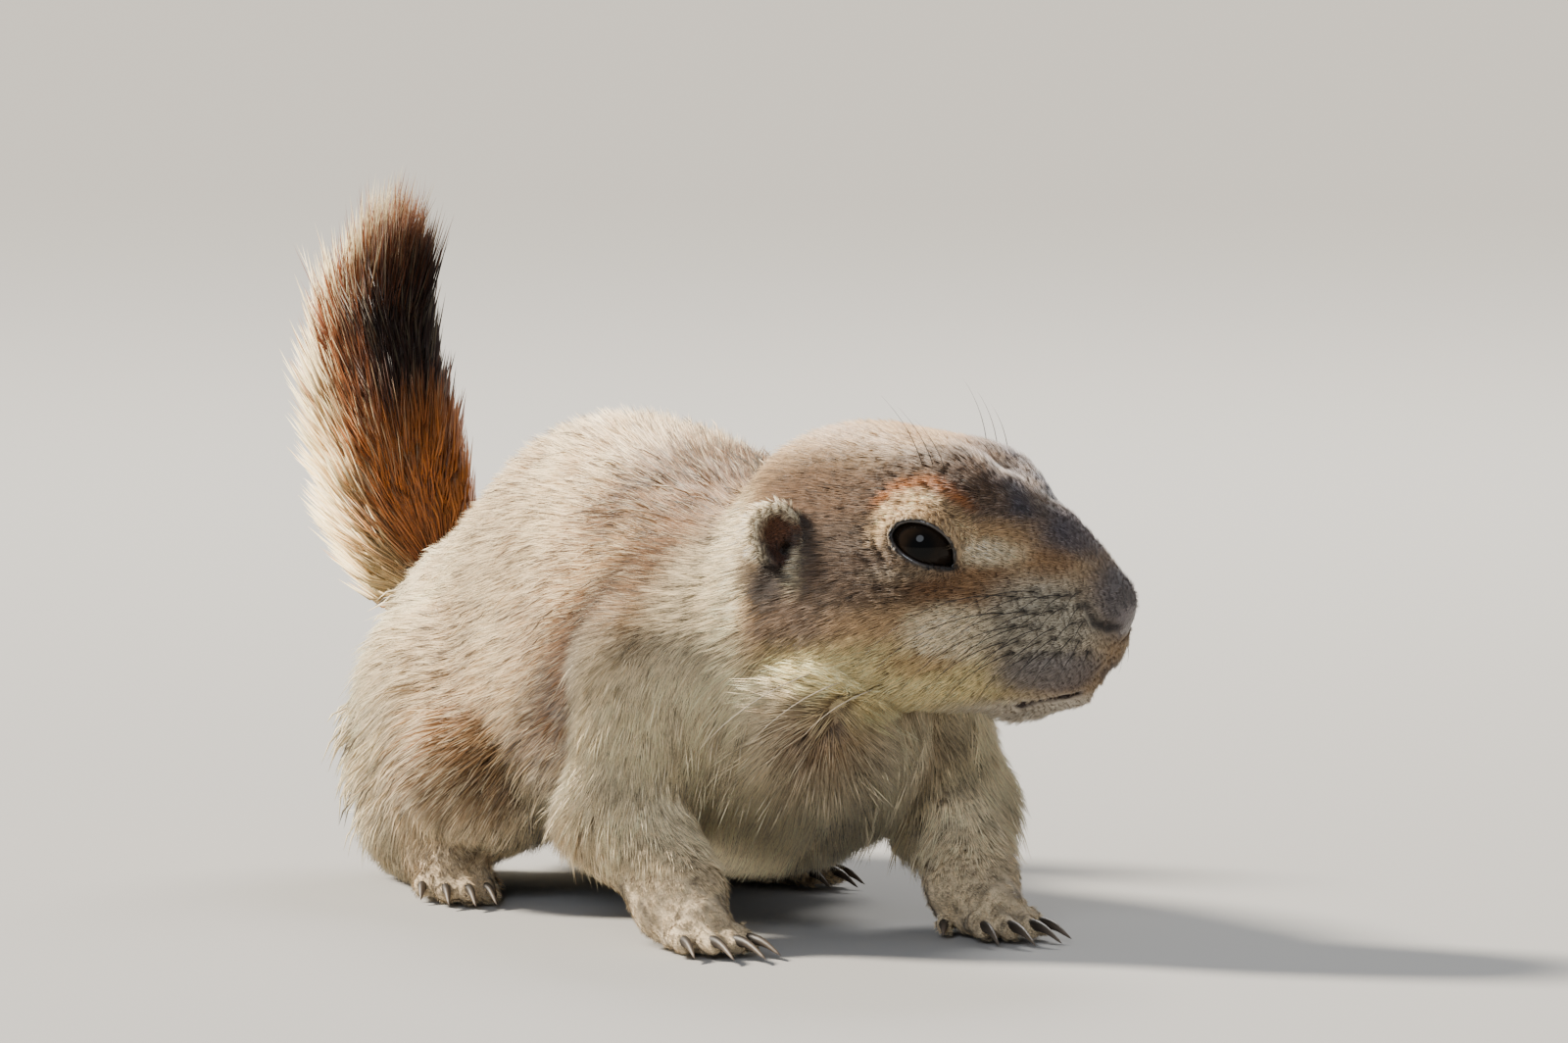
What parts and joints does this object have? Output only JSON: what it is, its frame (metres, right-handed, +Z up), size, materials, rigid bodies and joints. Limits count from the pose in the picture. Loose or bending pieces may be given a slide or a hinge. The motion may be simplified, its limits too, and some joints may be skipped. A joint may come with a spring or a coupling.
{
  "type": "prairie dog",
  "caption": "Life-size still model of a black-tailed prairie dog in a low crouch on its feet, tail raised, head turned to its left.",
  "frame": {"origin": "middle of the footprint's bounding box, on the floor under the feet", "axes": "+X along the body from rump to chest, +Y to the animal's left, +Z up"},
  "size_m": [0.2308, 0.0888, 0.1194],
  "materials": {
    "body_coat": "short dense fur, buff with grizzled tips",
    "head_coat": "very short fur, grey-brown above, cream on cheek and jaw",
    "ear_coat": "thin skin with sparse orange-brown hair",
    "foot_coat": "very short pale buff fur, dark claws",
    "tail_brush": "bristly brush, rufous at the base, black-brown towards the tip, pale fringe",
    "eye": "wet, glossy black"
  },
  "bodies": {
    "root": {"torso": "body_coat", "neck": "body_coat", "head": "head_coat", "ear_right": "ear_coat", "ear_left": "ear_coat", "eye_right": "eye", "eye_left": "eye", "foreleg_right": "body_coat", "foreleg_left": "body_coat", "forefoot_right": "foot_coat", "forefoot_left": "foot_coat", "hindleg_right": "body_coat", "hindleg_left": "body_coat", "hindfoot_right": "foot_coat", "hindfoot_left": "foot_coat", "tail_root": "tail_brush", "tail_tip": "tail_brush"}
  },
  "joints": []
}
